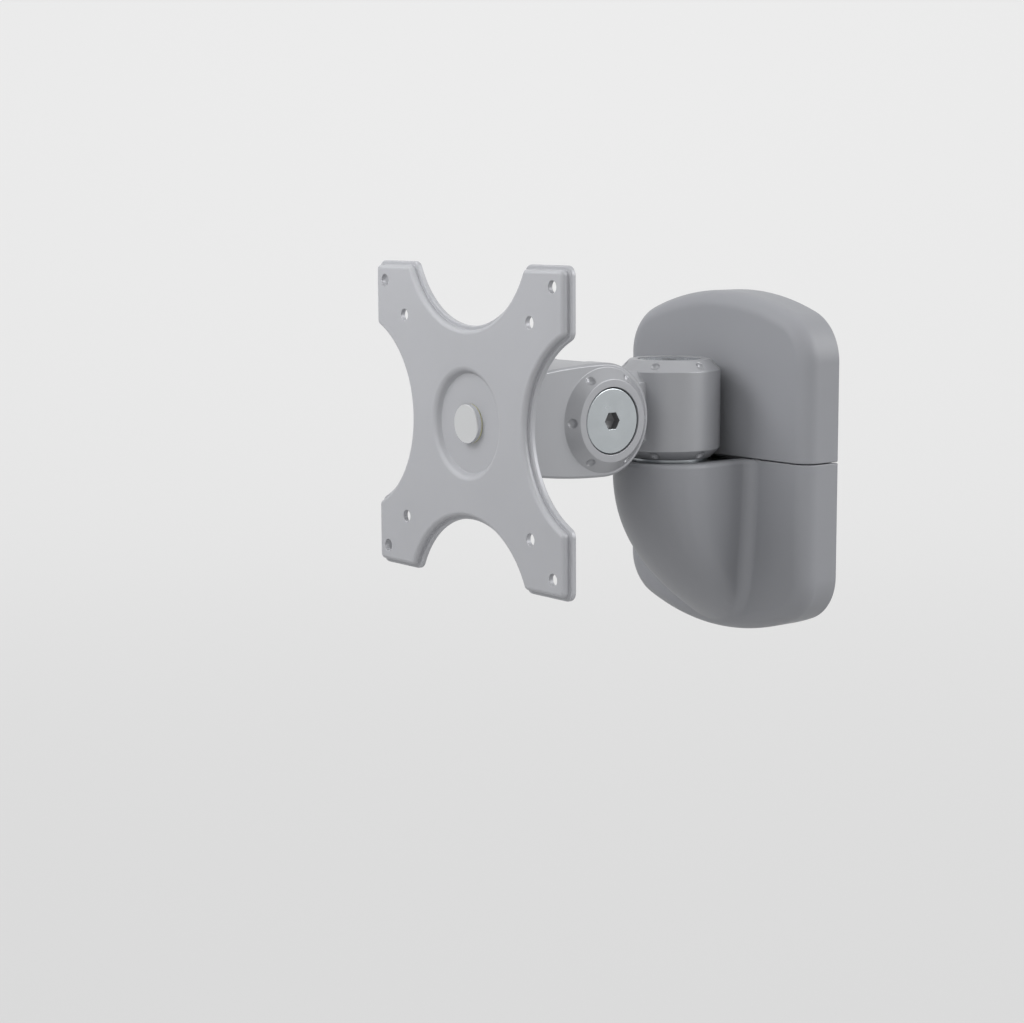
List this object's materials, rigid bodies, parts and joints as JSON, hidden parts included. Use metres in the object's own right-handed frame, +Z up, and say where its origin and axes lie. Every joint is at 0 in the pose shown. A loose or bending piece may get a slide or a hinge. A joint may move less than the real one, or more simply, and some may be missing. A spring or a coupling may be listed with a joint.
{
  "type": "tv wall mount",
  "caption": "Short swivelling, tilting and turning screen mount: a covered wall base, a swivel link, a fork head and a cross-shaped screen plate.",
  "frame": {"origin": "middle of the base on the wall plane, which is also the centre of the wall holes", "axes": "+X to the right seen from the room, +Y into the wall, +Z up"},
  "size_m": [0.1144, 0.137, 0.1464],
  "materials": {
    "cast_silver": "satin silver-grey paint on a casting",
    "cover_grey": "fine-textured moulded grey plastic",
    "plate_silver": "satin silver-grey paint on pressed sheet",
    "bright_steel": "bright plated and finely turned",
    "zinc_steel": "plain zinc plated",
    "brass": "bare",
    "bush_nylon": "moulded, plain"
  },
  "bodies": {
    "wall_base": {"wall_bracket": "cast_silver", "upper_cover": "cover_grey", "lower_cover": "cover_grey", "swivel_bolt": "bright_steel", "swivel_thrust_washer": "bright_steel", "swivel_flat_washer": "zinc_steel", "swivel_disc_springs": "zinc_steel", "swivel_lock_nut": "zinc_steel"},
    "swivel_link": {"link_casting": "cast_silver", "upper_swivel_bush": "bush_nylon", "lower_swivel_bush": "bush_nylon", "right_tilt_bush": "bush_nylon", "left_tilt_bush": "bush_nylon"},
    "tilt_head": {"fork_head": "cast_silver", "tilt_bolt": "bright_steel", "tilt_disc_nut": "bright_steel", "right_tilt_washer": "bush_nylon", "left_tilt_washer": "bush_nylon", "tilt_disc_spring": "zinc_steel", "plate_pin": "bright_steel", "pin_head_washer": "brass", "plate_friction_washer": "bush_nylon", "pin_flat_washer": "zinc_steel", "pin_disc_springs": "zinc_steel", "pin_lock_nut": "zinc_steel"},
    "turning_plate": {"screen_plate": "plate_silver"}
  },
  "joints": [
    {"name": "swivel", "type": "hinge", "parent": "wall_base", "child": "swivel_link", "pos_m": [0, -0.0394, 0.0225], "axis": [0, 0, 1], "range_deg": [-70, 70]},
    {"name": "tilt", "type": "hinge", "parent": "swivel_link", "child": "tilt_head", "pos_m": [0, -0.0906, 0.0225], "axis": [1, 0, 0], "range_deg": [-40, 40]},
    {"name": "plate_turn", "type": "hinge", "parent": "tilt_head", "child": "turning_plate", "pos_m": [0, -0.137, 0.0225], "axis": [0, 1, 0], "continuous": true}
  ]
}
